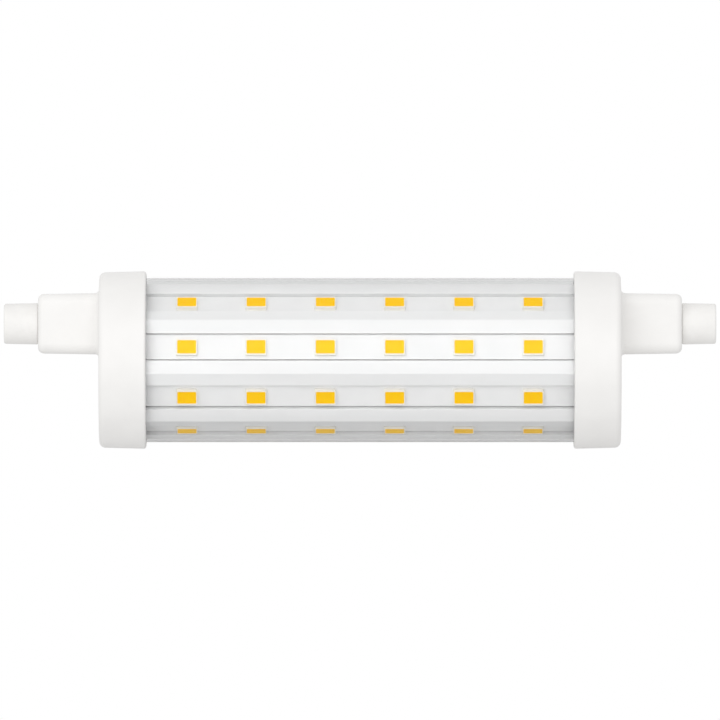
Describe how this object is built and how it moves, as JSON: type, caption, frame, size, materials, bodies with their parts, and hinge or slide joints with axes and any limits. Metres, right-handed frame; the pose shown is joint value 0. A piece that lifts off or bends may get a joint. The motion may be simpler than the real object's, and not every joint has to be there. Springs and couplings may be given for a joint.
{
  "type": "linear led bulb",
  "caption": "Double-ended linear LED bulb: a clear tube over a faceted core with rows of LEDs, closed by moulded end caps with offset recessed contacts.",
  "frame": {"origin": "middle of the tube's axis, which is also the centre of the bulb's box", "axes": "+X along the bulb, +Z towards the side that the contact necks are offset to, +Y away from the picture's viewer"},
  "size_m": [0.118, 0.0294, 0.0294],
  "materials": {
    "clear_plastic": "clear polycarbonate, polished",
    "cap_plastic": "white moulded plastic, fine satin",
    "tip_ceramic": "unglazed white steatite",
    "contact_metal": "nickel plated",
    "core_coating": "extruded aluminium with a white reflective coat",
    "strip_mask": "metal-core strip with white solder mask",
    "led_plastic": "white moulded LED housing",
    "phosphor": "yellow phosphor in clear silicone",
    "wire_insulation": "insulated stranded wire",
    "sleeve_film": "insulating film",
    "board_laminate": "glass-fibre laminate with solder mask",
    "fuse_case": "moulded fuse case",
    "black_moulding": "moulded semiconductor package",
    "can_sleeve": "shrink-sleeved aluminium can",
    "ferrite": "sintered ferrite with a lacquered winding"
  },
  "bodies": {
    "root": {"bridge_rectifier": "black_moulding", "clear_tube": "clear_plastic", "driver_board": "board_laminate", "driver_chip": "black_moulding", "filter_choke": "ferrite", "input_fuse": "fuse_case", "insulating_sleeve": "sleeve_film", "led_core": "core_coating", "led_housings_1": "led_plastic", "led_housings_2": "led_plastic", "led_housings_3": "led_plastic", "led_housings_4": "led_plastic", "led_housings_5": "led_plastic", "led_housings_6": "led_plastic", "led_housings_7": "led_plastic", "led_housings_8": "led_plastic", "led_housings_9": "led_plastic", "led_phosphor_1": "phosphor", "led_phosphor_2": "phosphor", "led_phosphor_3": "phosphor", "led_phosphor_4": "phosphor", "led_phosphor_5": "phosphor", "led_phosphor_6": "phosphor", "led_phosphor_7": "phosphor", "led_phosphor_8": "phosphor", "led_phosphor_9": "phosphor", "led_strip_1": "strip_mask", "led_strip_2": "strip_mask", "led_strip_3": "strip_mask", "led_strip_4": "strip_mask", "led_strip_5": "strip_mask", "led_strip_6": "strip_mask", "led_strip_7": "strip_mask", "led_strip_8": "strip_mask", "led_strip_9": "strip_mask", "left_contact_insulator": "tip_ceramic", "left_contact_pin": "contact_metal", "left_contact_wire": "wire_insulation", "left_end_cap": "cap_plastic", "link_board": "strip_mask", "negative_feed_wire": "wire_insulation", "output_diode": "black_moulding", "positive_feed_wire": "wire_insulation", "power_inductor": "ferrite", "right_contact_insulator": "tip_ceramic", "right_contact_pin": "contact_metal", "right_contact_wire": "wire_insulation", "right_end_cap": "cap_plastic", "smoothing_capacitor": "can_sleeve"}
  },
  "joints": []
}
